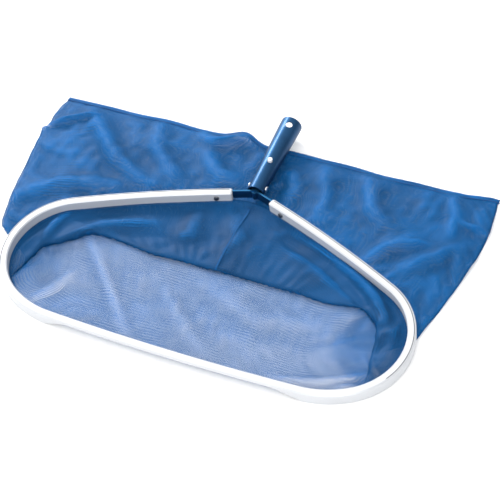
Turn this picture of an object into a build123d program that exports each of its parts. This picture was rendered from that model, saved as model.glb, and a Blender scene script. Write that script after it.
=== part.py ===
from build123d import *
import os
from math import cos, degrees, radians, sin, sqrt

# Leaf skimmer net for a pool, laid flat with its bag collapsed behind the rim.
# +Z is up and z = 0 is the ground. +Y runs from the leading edge to the handle.
# The origin is under the centre of the whole object's bounding box.
# The rim and handle are drawn flat, then leaned back as one about the rim's front edge, so
# that the front edge is on the ground and the lower button is just clear of the bag.

# ---- rim: plan shape of its inner edge, one half, from the front centre round to the arm end ----
front_bow_r = 3280.0        # the leading edge is very slightly bowed
front_half = 155.0
corner_r = 112.0
corner_turn = 28.5
side_r = 79.0
side_turn = 122.5
arm_bow_r = 1520.0
arm_length = 193.0

# ---- rim: section ----
rim_width = 9.7
rim_height = 16.0
lean = 1.6                  # degrees
edge_bevel = 1.5
arm_end_round = 2.4
chamber_inner = 5.2         # distances from the inner edge
chamber_outer = 8.2
chamber_floor = 1.5         # above the rim's bottom and below its top
groove_centre = 2.3
groove_width = 3.0
groove_drop = 9.3           # below the rim's top
slot_width = 1.4

# ---- rim: where the leading edge is thinned ----
blade_thickness = 4.0
blade_leg = 4.4             # inner leg that keeps the bead groove
blade_leg_drop = 12.5
blade_half = 122.0
blade_ramp_end = 170.0

# ---- bag bead and tape ----
bead_d = 2.4
tape_thickness = 0.6

# ---- yoke ----
yoke_plate = 2.2
yoke_plate_height = 12.4
yoke_insert = 28.0          # length of each arm inside the rim
yoke_boss_d = 8.0
yoke_boss_height = 11.0
stem_width = 12.0
stem_height = 9.0
stem_length = 17.0

# ---- handle tube ----
tube_gap = 8.2              # from the rim's arm ends line to the tube's lower end
tube_length = 118.0
tube_lower_r = 10.2
tube_upper_r = 13.6
tube_land = 8.0             # straight length at the free end
tube_wall = 1.4
tube_axis_drop = 6.0        # below the rim's top
hole_turn = 10.0            # the cross holes are turned about the tube's axis
button_station = 44.0       # from the tube's lower end
bolt_station = 105.5
bolt_hole_r = 4.4
button_hole_r = 3.5

# ---- spring clip in the tube ----
button_r = 3.0
button_proud = 4.0
clip_strip = 0.8
clip_strip_width = 7.0
clip_leg_offset = 7.5
clip_bend_station = 84.0
clip_button_inset = 8.5
clip_gap = 0.3

# ---- fasteners ----
screw_from_end = 19.5
screw_head_d = 6.4
screw_head_height = 1.9
screw_d = 3.4
screw_length = 7.8
rivet_station = 8.5
rivet_d = 4.0
rivet_head_d = 7.0
rivet_head_height = 1.8

# ---- bag, lying collapsed ----
net_thickness = 0.7
layer_gap = 0.5
rim_clearance = 0.3         # between the folded mouth of the upper layer and the rim
hem_width = 8.0
hem_height = 2.1
hem_back = 333.0            # behind the rim's inner front edge
fold_front = 125.0
fold_half = 236.0
bag_hem_half = 288.0
bag_side_half = 294.0
bag_side_y = 262.0
bag_shoulder_half = 270.0
bag_shoulder_y = 112.0
seam_width = 5.0
seam_height = 0.5


def chain():
    """Centre, radius, start heading and turn of each arc of the rim's inner edge."""
    front_turn = front_half / front_bow_r
    arm_turn = arm_length / arm_bow_r
    pieces = [(front_bow_r, front_turn), (corner_r, radians(corner_turn)),
              (side_r, radians(side_turn)), (arm_bow_r, arm_turn)]
    arcs = []
    heading = 0.0
    x = 0.0
    y = 0.0
    for radius, turn in pieces:
        cx = x - radius * sin(heading)
        cy = y + radius * cos(heading)
        arcs.append((cx, cy, radius, heading, turn))
        heading += turn
        x = cx + radius * sin(heading)
        y = cy - radius * cos(heading)
    return arcs, (x, y), heading


ARCS, ARM_END, ARM_HEADING = chain()
arm_forward = (cos(ARM_HEADING), sin(ARM_HEADING))      # along the arm, towards the handle
arm_outward = (sin(ARM_HEADING), -cos(ARM_HEADING))     # square to the arm, away from the mouth

# The yoke's apex is where the centre lines of the two rim chambers meet.
chamber_mid = (chamber_inner + chamber_outer) / 2
apex_from = (ARM_END[0] + arm_outward[0] * chamber_mid, ARM_END[1] + arm_outward[1] * chamber_mid)
apex_y = apex_from[1] - apex_from[0] * arm_forward[1] / arm_forward[0]

tube_start = ARM_END[1] + rim_width - 2.0 + tube_gap
tube_end = tube_start + tube_length

# Everything is drawn with y = 0 at the rim's inner front edge, then moved so that the
# middle of the whole length is at y = 0.
whole_length = (tube_end + rim_width) * cos(radians(lean))
shift_y = rim_width - whole_length / 2

rim_bottom_z = 0.0
rim_top_z = rim_bottom_z + rim_height
axis_z = rim_top_z - tube_axis_drop


def rim_point(arc, fraction, offset):
    cx, cy, radius, heading, turn = arc
    angle = heading + fraction * turn
    return (cx + (radius + offset) * sin(angle), cy - (radius + offset) * cos(angle))


def band_face(inner, outer, end_round=0.0):
    """Plan face of half the rim, between two distances from its inner edge."""
    edges = []
    for arc in ARCS:
        edges.append(ThreePointArc(*[rim_point(arc, t, outer) for t in (0, 0.5, 1)]))
        edges.append(ThreePointArc(*[rim_point(arc, t, inner) for t in (0, 0.5, 1)]))
    edges.append(Line(rim_point(ARCS[-1], 1, inner), rim_point(ARCS[-1], 1, outer)))
    edges.append(Line(rim_point(ARCS[0], 0, inner), rim_point(ARCS[0], 0, outer)))
    face = make_face(Curve() + edges)
    if end_round:
        corners = [v for v in face.vertices()
                   if min(abs(v.X - rim_point(ARCS[-1], 1, o)[0])
                          + abs(v.Y - rim_point(ARCS[-1], 1, o)[1]) for o in (inner, outer)) < 0.01]
        face = fillet(corners, end_round)
    return face


def band(inner, outer, z_low, z_high, end_round=0.0):
    """Both halves of a band that follows the rim, from z_low to z_high."""
    face = Pos(0, 0, z_low) * band_face(inner, outer, end_round)
    half = extrude(face, z_high - z_low, dir=(0, 0, 1))
    return half + mirror(half, Plane.YZ)


def rim_envelope():
    face = Pos(0, 0, rim_bottom_z) * band_face(0, rim_width, arm_end_round)
    half = extrude(face, rim_height, dir=(0, 0, 1))
    outer_radii = [arc[2] + rim_width for arc in ARCS]
    top_edges = [e for e in half.edges().filter_by(GeomType.CIRCLE)
                 if abs(e.center().Z - rim_top_z) < 0.001
                 and min(abs(e.radius - r) for r in outer_radii) < 0.01]
    half = chamfer(top_edges, edge_bevel)
    return half + mirror(half, Plane.YZ)


def front_cutter(z_cut):
    """Space below the thinned leading edge: it rises from the ground to z_cut in a smooth ramp."""
    low = -5.0
    ramp = Spline((blade_half, z_cut), (blade_ramp_end, rim_bottom_z - 0.5), tangents=((1, 0), (1, 0)))
    outline = Curve() + [ramp, Line((0, z_cut), (blade_half, z_cut)), Line((0, low), (0, z_cut)),
                         Line((0, low), (blade_ramp_end, low)),
                         Line((blade_ramp_end, low), (blade_ramp_end, rim_bottom_z - 0.5))]
    face = Plane.XZ * make_face(outline)
    half = extrude(Pos(0, 60, 0) * face, 100, dir=(0, -1, 0))
    return half + mirror(half, Plane.YZ)


def arm_frame(distance_back, z):
    """Axes at a place on the right arm's inner wall: Z points out of the wall, into the mouth."""
    arc = ARCS[3]
    fraction = 1 - distance_back / arm_length
    x, y = rim_point(arc, fraction, 0)
    heading = arc[3] + fraction * arc[4]
    return Plane(origin=(x, y, z), x_dir=(cos(heading), sin(heading), 0),
                 z_dir=(-sin(heading), cos(heading), 0))


def both_sides(shape):
    return [shape, mirror(shape, Plane.YZ)]


def screw_plane():
    return arm_frame(screw_from_end, (rim_bottom_z + rim_top_z) / 2)


def rim_frame():
    groove_top = rim_top_z - groove_drop + groove_width / 2
    groove_bottom = groove_top - groove_width
    rim = rim_envelope()
    rim -= band(chamber_inner, chamber_outer, rim_bottom_z + chamber_floor, rim_top_z - chamber_floor)
    rim -= band(groove_centre - groove_width / 2, groove_centre + groove_width / 2,
                groove_bottom, groove_top)
    rim -= band(groove_centre - slot_width / 2, groove_centre + slot_width / 2,
                rim_bottom_z - 1, groove_bottom + 0.1)
    outer_zone = band(blade_leg, rim_width + 3, -5, rim_top_z)
    rim -= front_cutter(rim_top_z - blade_thickness) & outer_zone
    rim -= front_cutter(rim_top_z - blade_leg_drop)
    hole = screw_plane() * Cylinder(screw_d / 2 + 0.1, 2 * chamber_outer - 2)
    for cutter in both_sides(hole):
        rim -= cutter
    return rim


def bead_cord():
    """Round cord in the rim's groove, stopping short of the screws."""
    path = Curve() + [ThreePointArc(*[rim_point(arc, t, groove_centre) for t in (0, 0.5, 1)])
                      for arc in ARCS[:3]]
    arm = ARCS[3]
    stop = 1 - (screw_from_end + 8) / arm_length
    last = ThreePointArc(*[rim_point(arm, t * stop, groove_centre) for t in (0, 0.5, 1)])
    path = Pos(0, 0, rim_top_z - groove_drop) * (path + [last])
    start = Plane(origin=path @ 0, x_dir=(0, 1, 0), z_dir=(1, 0, 0))
    half = sweep(start * Circle(bead_d / 2), path=path)
    return half + mirror(half, Plane.YZ)


def mouth_tape():
    """Tape sewn round the bag's mouth: it hangs from the bead, down through the slot."""
    top = rim_top_z - groove_drop - bead_d / 2 - 0.1
    inner = groove_centre - tape_thickness / 2
    outer = groove_centre + tape_thickness / 2
    tape = band(inner, outer, rim_bottom_z, top)
    end_length = 2 * (screw_from_end + 8)
    end_zone = arm_frame(0, top) * Box(end_length, 40, 30)
    for cutter in both_sides(end_zone):
        tape -= cutter
    return tape


def yoke():
    """Two flat arms that plug into the rim, a boss where they meet and a stem into the tube."""
    reach = sqrt((apex_from[0]) ** 2 + (apex_y - apex_from[1]) ** 2) + yoke_insert
    mid_z = (rim_bottom_z + rim_top_z) / 2
    turn = ARM_HEADING - radians(180)
    arm = Pos(reach / 2, 0, 0) * Box(reach, yoke_plate, yoke_plate_height)
    arm = Pos(0, apex_y, mid_z) * Rot(0, 0, degrees(turn)) * arm
    hole = screw_plane() * Cylinder(screw_d / 2, 40)
    arm -= hole
    boss = Pos(0, apex_y - 0.6, mid_z) * Cylinder(yoke_boss_d / 2, yoke_boss_height)
    stem_end = tube_start + stem_length
    stem = Pos(0, (apex_y + stem_end) / 2, axis_z) * Box(stem_width, stem_end - apex_y, stem_height)
    stem = fillet(stem.edges().filter_by(Axis.Y), 3.0)
    body = arm + mirror(arm, Plane.YZ) + boss + stem
    body -= Pos(0, tube_start + rivet_station, axis_z) * Rot(0, 90, 0) * Cylinder(rivet_d / 2 + 0.1, 60)
    return body


def tube_outer_r(station):
    straight = tube_length - tube_land
    share = min(station / straight, 1.0)
    return tube_lower_r + (tube_upper_r - tube_lower_r) * share


def tube_place(station, up=0.0):
    """Place on the tube's axis, with +Z along the cross holes."""
    return Pos(0, tube_start + station, axis_z) * Rot(0, hole_turn, 0) * Pos(0, 0, up)


def handle_tube():
    straight = tube_length - tube_land
    outline = Polyline((0, 0), (tube_lower_r, 0), (tube_upper_r, straight),
                       (tube_upper_r, tube_length), (0, tube_length), (0, 0))
    body = revolve(make_face(outline), Axis.Y, 360)
    body = chamfer(body.edges().filter_by(GeomType.CIRCLE).group_by(Axis.Y)[-1], 0.5)
    bore = Polyline((0, -1), (tube_lower_r - tube_wall, -1), (tube_lower_r - tube_wall, 0),
                    (tube_upper_r - tube_wall, straight), (tube_upper_r - tube_wall, tube_length + 1),
                    (0, tube_length + 1), (0, -1))
    body -= revolve(make_face(bore), Axis.Y, 360)
    body = Pos(0, tube_start, axis_z) * body
    body -= tube_place(button_station) * Cylinder(button_hole_r, 60)
    body -= tube_place(bolt_station) * Cylinder(bolt_hole_r, 60)
    body -= Pos(0, tube_start + rivet_station, axis_z) * Rot(0, 90, 0) * Cylinder(rivet_d / 2 + 0.1, 60)
    return body


def arm_screws():
    """Pan-head screws through the rim's inner wall into the yoke's arms."""
    head = Pos(0, 0, screw_head_height / 2) * Cylinder(screw_head_d / 2, screw_head_height)
    head = fillet(head.edges().group_by(Axis.Z)[-1], 0.9)
    slots = Pos(0, 0, screw_head_height) * (Box(3.6, 0.9, 1.6) + Box(0.9, 3.6, 1.6))
    shank = Pos(0, 0, -screw_length / 2) * Cylinder(screw_d / 2, screw_length)
    screw = head - slots + shank
    placed = screw_plane() * screw
    return Compound(children=[Solid(s.wrapped) for part in both_sides(placed) for s in part.solids()])


def hub_rivet():
    radius = tube_outer_r(rivet_station) + 0.1
    shank = Cylinder(rivet_d / 2, 2 * radius + 0.2)
    head = Pos(0, 0, radius + rivet_head_height / 2) * Cylinder(rivet_head_d / 2, rivet_head_height)
    head = fillet(head.edges().group_by(Axis.Z)[-1], 1.6)
    rivet = shank + head + mirror(head, Plane.XY)
    return Pos(0, tube_start + rivet_station, axis_z) * Rot(0, 90, 0) * rivet


def clip_bend():
    """Round bend of the spring clip, between its two legs."""
    outer = clip_leg_offset + clip_strip / 2
    inner = outer - clip_strip
    ring = Cylinder(outer, clip_strip_width) - Cylinder(inner, clip_strip_width + 1)
    ring = ring & (Pos(0, 20, 0) * Box(60, 40, 60))
    ring = Rot(0, 90, 0) * ring
    return tube_place(clip_bend_station) * ring


def clip_leg():
    """Upper leg: a flat strip from the bend to its button."""
    length = clip_bend_station - button_station + 5
    rise = clip_button_inset - clip_leg_offset
    tilt = rise / (clip_bend_station - button_station)
    strip = Pos(0, -length / 2, 0) * Box(clip_strip_width, length - 2 * clip_gap, clip_strip)
    strip = fillet(strip.edges().filter_by(Axis.Z).group_by(Axis.Y)[0], 3.0)
    strip = Rot(-degrees(tilt), 0, 0) * strip
    stake = Pos(0, -(clip_bend_station - button_station), rise) * Cylinder(1.0, 6)
    return tube_place(clip_bend_station, clip_leg_offset) * (strip - stake)


def clip_button():
    top = tube_outer_r(button_station) + button_proud
    low = clip_button_inset + clip_strip / 2 + 0.1
    pin = Pos(0, 0, (top + low) / 2) * Cylinder(button_r, top - low)
    pin = fillet(pin.edges().group_by(Axis.Z)[-1], 1.6)
    stake = Pos(0, 0, low - 0.9) * Cylinder(0.95, 2.2)
    return tube_place(button_station) * (pin + stake)


def turned_under(shape):
    """Copy of a clip piece on the tube's other side."""
    centre = Plane(origin=(0, 0, axis_z), z_dir=(sin(radians(hole_turn)), 0, cos(radians(hole_turn))))
    return mirror(shape, centre)


def bag_outline(front_y):
    """Half plan of the collapsed bag behind front_y, up to the hem band."""
    hem_front = hem_back - hem_width
    side = Spline((bag_shoulder_half, bag_shoulder_y), (bag_side_half, bag_side_y),
                  (bag_hem_half, hem_front))
    return side, hem_front


def lower_face():
    side, hem_front = bag_outline(0)
    inner = -0.3
    arcs = [ThreePointArc(*[rim_point(arc, t, inner) for t in (0, 0.5, 1)]) for arc in ARCS[:2]]
    reach = 0.45
    arcs.append(ThreePointArc(*[rim_point(ARCS[2], t * reach, inner) for t in (0, 0.5, 1)]))
    meet = rim_point(ARCS[2], reach, inner)
    edges = arcs + [Line(meet, (bag_shoulder_half, bag_shoulder_y)), side,
                    Line((bag_hem_half, hem_front), (0, hem_front)),
                    Line((0, hem_front), rim_point(ARCS[0], 0, inner))]
    return make_face(Curve() + edges)


def net_lower_panel():
    half = extrude(lower_face(), net_thickness, dir=(0, 0, 1))
    return half + mirror(half, Plane.YZ)


def upper_face():
    side, hem_front = bag_outline(fold_front)
    edges = [Line((0, fold_front), (fold_half, fold_front)),
             Line((fold_half, fold_front), (bag_shoulder_half, bag_shoulder_y)), side,
             Line((bag_hem_half, hem_front), (0, hem_front)), Line((0, hem_front), (0, fold_front))]
    return make_face(Curve() + edges)


def net_upper_panel():
    """Upper layer, doubled back under the mouth as a fold that fills the gap below the rim."""
    low = net_thickness + layer_gap
    layer = extrude(Pos(0, 0, low) * upper_face(), net_thickness, dir=(0, 0, 1))
    mouth = Pos(0, 0, low) * make_face(Curve() + mouth_edges())
    fold = extrude(mouth, 20, dir=(0, 0, 1))
    fold -= leaned(Pos(0, 150, 50 - rim_clearance) * Box(700, 500, 100))
    half = layer + fold
    return half + mirror(half, Plane.YZ)


def mouth_edges():
    """Half outline of the folded part, between the fold's front and the arms."""
    start = 0.06
    arm = ARCS[3]
    arm_curve = ThreePointArc(*[rim_point(arm, start + (1 - start) * t, groove_centre)
                                for t in (0, 0.5, 1)])
    side_point = rim_point(arm, start, groove_centre)
    end_point = rim_point(arm, 1, groove_centre)
    return [Line((0, fold_front), (fold_half, fold_front)), Line((fold_half, fold_front), side_point),
            arm_curve, Line(end_point, (0, end_point[1])), Line((0, end_point[1]), (0, fold_front))]


def end_hem():
    band_solid = Box(2 * bag_hem_half, hem_width, hem_height)
    band_solid = fillet(band_solid.edges().filter_by(Axis.X).group_by(Axis.Y)[-1], 0.9)
    return Pos(0, hem_back - hem_width / 2, hem_height / 2) * band_solid


def centre_seam():
    """Folded seam allowance along the middle of the upper layer, before and behind the yoke."""
    front_length = ARM_END[1] - fold_front - 6
    front_y = fold_front + 2 + front_length / 2
    front = leaned(Pos(0, front_y, 0.05 - rim_clearance + seam_height / 2)
                   * Box(seam_width, front_length, seam_height))
    back_start = ARM_END[1] + 4
    back_length = hem_back - hem_width - back_start
    layer_top = 2 * net_thickness + layer_gap
    back = Pos(0, back_start + back_length / 2, layer_top + seam_height / 2)
    back = back * Box(seam_width, back_length - 0.6, seam_height)
    return Compound(children=[Solid(s.wrapped) for part in (front, back) for s in part.solids()])


def leaned(shape):
    """Lean a shape back about the rim's front edge."""
    return Pos(0, -rim_width, 0) * Rot(lean, 0, 0) * Pos(0, rim_width, 0) * shape


def tell(name, place):
    """Print a place's position and its X, Y and Z directions, in millimetres."""
    placed = Plane(Pos(0, shift_y, 0) * leaned(place))
    print(name, [round(v, 4) for v in placed.origin], "x", [round(v, 6) for v in placed.x_dir],
          "y", [round(v, 6) for v in placed.y_dir], "z", [round(v, 6) for v in placed.z_dir])


def main():
    os.makedirs("parts", exist_ok=True)
    leg = clip_leg()
    button = clip_button()
    rigid = {
        "rim_frame": rim_frame(),
        "yoke": yoke(),
        "handle_tube": handle_tube(),
        "arm_screws": arm_screws(),
        "hub_rivet": hub_rivet(),
        "clip_bend": clip_bend(),
        "clip_leg_upper": leg,
        "clip_leg_lower": turned_under(leg),
        "button_upper": button,
        "button_lower": turned_under(button),
        "bead_cord": bead_cord(),
        "mouth_tape": mouth_tape(),
    }
    on_ground = {
        "net_lower_panel": net_lower_panel(),
        "net_upper_panel": net_upper_panel(),
        "end_hem": end_hem(),
        "centre_seam": centre_seam(),
    }
    nodes = {name: leaned(shape) for name, shape in rigid.items()} | on_ground
    for name, shape in nodes.items():
        export_step(Pos(0, shift_y, 0) * shape, "parts/" + name + ".step")
    tell("tube free end", Location((0, tube_end, axis_z)))
    tell("bolt holes", tube_place(bolt_station))
    tell("upper button tip", tube_place(button_station, tube_outer_r(button_station) + button_proud))
    tell("upper leg pivot", tube_place(clip_bend_station, clip_leg_offset))
    tell("lower leg pivot", tube_place(clip_bend_station, -clip_leg_offset))
    tell("arm end", Location((ARM_END[0], ARM_END[1], rim_bottom_z)))
    print("shift_y", round(shift_y, 4))


main()
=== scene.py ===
import math
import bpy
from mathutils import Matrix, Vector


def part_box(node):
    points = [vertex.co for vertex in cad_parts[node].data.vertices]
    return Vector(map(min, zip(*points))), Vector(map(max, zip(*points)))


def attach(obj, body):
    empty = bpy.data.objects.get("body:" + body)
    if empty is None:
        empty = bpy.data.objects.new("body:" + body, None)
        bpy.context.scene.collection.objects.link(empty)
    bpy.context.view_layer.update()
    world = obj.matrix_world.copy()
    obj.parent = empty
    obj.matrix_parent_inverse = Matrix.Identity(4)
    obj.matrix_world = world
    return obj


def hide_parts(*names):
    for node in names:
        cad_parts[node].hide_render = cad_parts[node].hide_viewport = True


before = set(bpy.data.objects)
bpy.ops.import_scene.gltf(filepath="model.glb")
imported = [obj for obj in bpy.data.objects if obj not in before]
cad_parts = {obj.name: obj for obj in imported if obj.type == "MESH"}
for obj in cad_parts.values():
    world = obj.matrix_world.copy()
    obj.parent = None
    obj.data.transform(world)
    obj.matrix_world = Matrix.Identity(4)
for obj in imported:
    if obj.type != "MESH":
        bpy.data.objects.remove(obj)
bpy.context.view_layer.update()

from types import SimpleNamespace

import bmesh
import bpy
import numpy as np
from bpy.props import FloatProperty, FloatVectorProperty, IntProperty, PointerProperty
from mathutils import Matrix, Vector

bl_info = {
    "name": "Leaf skimmer net",
    "version": (1, 0, 0),
    "blender": (4, 5, 0),
    "location": "View3D > Sidebar > Skimmer",
    "description": "Mesh bag, seams and finishes for a pool leaf skimmer net laid on the ground",
    "category": "Object",
}

MM = 0.001

# The rim's inner edge, half of it, from the front centre round to the arm end: radius and
# length of each arc, in millimetres. They are the frame's own.
RIM_ARCS = [(3280.0, 155.0), (112.0, 112.0 * math.radians(28.5)),
            (79.0, 79.0 * math.radians(122.5)), (1520.0, 193.0)]
RIM_WIDTH = 9.7
RIM_HEIGHT = 16.0
RIM_LEAN = math.radians(1.6)
SLOT_OFFSET = 2.3
BEAD_HEIGHT = 6.7                       # middle of the bead above the rim's bottom
RIM_LENGTH = sum(length for _, length in RIM_ARCS)

# Y of the rim's inner front edge in the frame, in millimetres.
FRONT_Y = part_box("rim_frame")[0][1] / MM + RIM_WIDTH


# ---------------------------------------------------------------- sizes and colours


class BagSizes(bpy.types.PropertyGroup):
    """The mesh bag, laid collapsed on the ground."""
    hem_back: FloatProperty(name="Hem line", description="Distance of the hem behind the rim's front",
                            default=0.338, unit="LENGTH")
    hem_left: FloatProperty(name="Hem left", description="Left end of the hem from the middle",
                            default=0.303, unit="LENGTH")
    hem_right: FloatProperty(name="Hem right", description="Right end of the hem from the middle",
                             default=0.277, unit="LENGTH")
    hem_width: FloatProperty(name="Hem width", description="Width of the folded hem",
                             default=0.0065, unit="LENGTH")
    cloth_thickness: FloatProperty(name="Cloth thickness", description="Thickness of the mesh cloth",
                                   default=0.00035, unit="LENGTH")
    mesh_pitch: FloatProperty(name="Mesh pitch", description="Distance between two threads",
                              default=0.0010, unit="LENGTH")
    ripple: FloatProperty(name="Ripple height", description="Height of the soft ripples in the cloth",
                          default=0.0032, unit="LENGTH")
    columns: IntProperty(name="Columns", description="Quads round the mouth", default=344)
    rows: IntProperty(name="Rows", description="Quads from mouth to hem", default=118)
    colour: FloatVectorProperty(name="Mesh colour", description="Colour of the bag's thread",
                                subtype="COLOR", size=3, default=(0.001, 0.100, 0.305))
    hem_colour: FloatVectorProperty(name="Hem colour", description="Colour of the folded hem",
                                    subtype="COLOR", size=3, default=(0.001, 0.092, 0.290))
    thread_colour: FloatVectorProperty(name="Thread colour", description="Colour of the sewing thread",
                                       subtype="COLOR", size=3, default=(0.004, 0.02, 0.10))


class HardwareColours(bpy.types.PropertyGroup):
    """Finishes of the rim, the handle and the fasteners."""
    rim_colour: FloatVectorProperty(name="Rim", description="Satin rim", subtype="COLOR", size=3,
                                    default=(0.60, 0.615, 0.64))
    handle_colour: FloatVectorProperty(name="Handle", description="Glossy blue tube", subtype="COLOR",
                                       size=3, default=(0.013, 0.062, 0.150))
    yoke_colour: FloatVectorProperty(name="Yoke", description="Blue yoke", subtype="COLOR", size=3,
                                     default=(0.02, 0.12, 0.26))
    screw_colour: FloatVectorProperty(name="Screws", description="Dark steel screws",
                                      subtype="COLOR", size=3, default=(0.12, 0.13, 0.15))
    button_colour: FloatVectorProperty(name="Buttons", description="White buttons", subtype="COLOR",
                                       size=3, default=(0.88, 0.89, 0.91))


class StageSizes(bpy.types.PropertyGroup):
    """Camera, lamps and floor."""
    azimuth: FloatProperty(name="Azimuth", description="Camera's turn to the right of the front",
                           default=math.radians(28.63), subtype="ANGLE")
    elevation: FloatProperty(name="Elevation", description="Camera's height above the horizon",
                             default=math.radians(49.59), subtype="ANGLE")
    roll: FloatProperty(name="Roll", description="Camera's turn about its own axis",
                        default=math.radians(-7.23), subtype="ANGLE")
    distance: FloatProperty(name="Distance", description="Camera to aim point", default=1.784,
                            unit="LENGTH")
    aim_x: FloatProperty(name="Aim X", description="Point the camera looks at", default=0.0268,
                         unit="LENGTH")
    aim_y: FloatProperty(name="Aim Y", description="Point the camera looks at", default=-0.0111,
                         unit="LENGTH")
    lens: FloatProperty(name="Lens", description="Focal length in millimetres", default=109.18)
    sky: FloatProperty(name="Sky", description="Strength of the surround", default=1.15)
    key: FloatProperty(name="Key lamp", description="Power of the key lamp in watts", default=52.0)


# ---------------------------------------------------------------- rim path


def rim_path(distance, offset):
    """X and Y of points beside the rim, by their distance from the front centre along its inner
    edge (negative to the left). Past the arm ends the path closes across the yoke."""
    side = np.sign(distance)
    along = np.abs(distance)
    x = np.zeros_like(along)
    y = np.zeros_like(along)
    start = 0.0
    heading = 0.0
    corner = (0.0, 0.0)
    for radius, length in RIM_ARCS:
        centre = (corner[0] - radius * math.sin(heading), corner[1] + radius * math.cos(heading))
        inside = (along >= start - 1e-9) & (along <= start + length + 1e-9)
        angle = heading + (along[inside] - start) / radius
        x[inside] = centre[0] + (radius + offset) * np.sin(angle)
        y[inside] = centre[1] - (radius + offset) * np.cos(angle)
        heading += length / radius
        corner = (centre[0] + radius * math.sin(heading), centre[1] - radius * math.cos(heading))
        start += length
    end_x = corner[0] + offset * math.sin(heading)
    end_y = corner[1] - offset * math.cos(heading)
    past = along > start
    step = along[past] - start
    x[past] = np.maximum(end_x - step, 0.0)
    y[past] = end_y + 3.0 * np.sin(np.minimum(step / end_x, 1.0) * math.pi / 2)
    return x * np.where(side == 0, 1.0, side), y


YOKE_HALF_GAP = 26.0
HALF_MOUTH = RIM_LENGTH + YOKE_HALF_GAP  # half of the bag's mouth, to the middle of the yoke gap
SIDE_FOLD = HALF_MOUTH / 2              # where the flattened bag folds at each side


def rim_bottom(y):
    return (y + RIM_WIDTH) * math.tan(RIM_LEAN)


def leaned(x, y, z):
    """A point of the level rim, in the frame, once the rim leans back on its front edge."""
    across = y + RIM_WIDTH
    back = across * math.cos(RIM_LEAN) - z * math.sin(RIM_LEAN) - RIM_WIDTH
    up = across * math.sin(RIM_LEAN) + z * math.cos(RIM_LEAN)
    return (x * MM, (back + FRONT_Y) * MM, up * MM)


def smooth(low, high, value):
    t = np.clip((value - low) / (high - low), 0.0, 1.0)
    return t * t * (3 - 2 * t)


# ---------------------------------------------------------------- bag shape


# Millimetres. Y is from the rim's inner front edge.
GROUND_LAYER = 0.45         # middle of the cloth that lies on the ground
MOUTH_RISE = 3.0            # mouth of the bag above the rim's bottom, in the slot
HIGHEST_ROLL = 13.5         # above the rim's bottom
FOLD_START = 188.0          # how far round the mouth the cloth starts to double back
KINK_X = -54.0              # the hem's step beside the tube
KINK_WIDTH = 20.0
BUTTON_X = -2.0             # the lower button's end, which the cloth stays clear of
BUTTON_Y = 292.0

# Fold line of the part of the bag that is doubled back inside the mouth: how far round the mouth
# its cloth starts, and where it folds. Millimetres, right half and left half.
FOLD_RIGHT = [(188, 184, 12), (208, 213, 28), (238, 217, 46), (268, 212, 68), (300, 209, 94),
              (328, 203, 116), (352, 180, 134), (396, 139, 127), (440, 103, 129), (600, 0, 129)]
FOLD_LEFT = [(188, 184, 12), (206, 216, 24), (228, 230, 44), (258, 223, 58), (302, 215, 94),
             (326, 194, 108), (350, 166, 132), (385, 140, 134), (450, 84, 127), (520, 44, 129),
             (600, 0, 128)]
# Outer edge of the flattened bag, as distance behind the rim's front and from the middle.
EDGE_RIGHT = [(60, 236), (95, 247), (130, 255), (163, 263), (196, 270), (246, 279), (290, 281.5),
              (338, 277)]
EDGE_LEFT = [(30, 238), (58, 258), (80, 267), (103, 276), (118, 284), (150, 291), (188, 298), (262, 309),
             (275, 312), (279, 305), (300, 308), (338, 306)]
# Soft folds in the cloth: points along each, then its height and half width, in millimetres.
ROLLS_INSIDE = [([(96, 204), (150, 180), (184, 157), (206, 131), (221, 104)], 13.0, 8.0),
                ([(233, 114), (215, 101), (212, 82)], 5.5, 3.5),
                ([(229, 130), (227, 112), (231, 94)], 4.5, 4.0),
                ([(213, 70), (222, 57), (238, 45)], 3.5, 4.0),
                ([(60, 200), (112, 184), (150, 162), (180, 140)], -11.0, 7.5),
                ([(228, 110), (231, 80), (221, 50)], 5.0, 8.0),
                ([(214, 128), (203, 112), (206, 92)], 5.0, 6.0),
                ([(-216, 96), (-214, 128), (-208, 156)], 6.5, 7.0),
                ([(-196, 112), (-160, 146), (-95, 172)], 6.0, 9.0),
                ([(-128, 140), (-60, 150), (-10, 170)], -3.5, 12.0),
                ([(-236, 60), (-238, 84), (-226, 112)], 4.0, 6.0),
                ([(-60, 206), (-50, 170), (-66, 138)], 3.5, 12.0),
                ([(-18, 224), (6, 180), (-4, 138)], 3.0, 12.0)]
ROLLS_BEHIND = [([(196, 196), (236, 232), (262, 262)], 5.0, 11.0),
                ([(150, 186), (176, 230), (232, 250)], 4.0, 10.0),
                ([(120, 330), (136, 280), (170, 250)], 4.0, 11.0),
                ([(60, 326), (78, 286), (84, 250)], 3.5, 10.0),
                ([(222, 330), (236, 300), (240, 262)], 3.5, 8.0),
                ([(248, 291), (268, 286), (281, 285)], 3.5, 3.5),
                ([(-312, 276), (-284, 297), (-252, 315)], 4.0, 4.0),
                ([(-290, 150), (-240, 196), (-170, 214)], 4.5, 12.0),
                ([(-256, 320), (-206, 262), (-140, 226)], 5.0, 12.0),
                ([(-170, 334), (-150, 282), (-96, 240)], 4.0, 11.0),
                ([(-90, 300), (-60, 268), (-30, 262)], 4.5, 12.0),
                ([(-110, 330), (-80, 318), (-46, 342)], 5.0, 8.0),
                ([(20, 310), (40, 280), (34, 256)], 3.5, 9.0)]
ROLLS_BELOW = [([(-168, 128), (-118, 74), (-62, 12)], 3.0, 7.0),
               ([(-198, 12), (-176, 40), (-160, 74)], 2.5, 5.0),
               ([(120, 12), (170, 24), (214, 50)], 3.5, 4.0),
               ([(196, 12), (194, 26), (210, 34)], 3.0, 2.5),
               ([(-234, 14), (-224, 26), (-229, 44)], 3.0, 2.5),
               ([(-20, 116), (60, 84), (150, 96)], 2.2, 12.0),
               ([(-60, 96), (0, 40), (40, 12)], 2.0, 9.0)]


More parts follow.
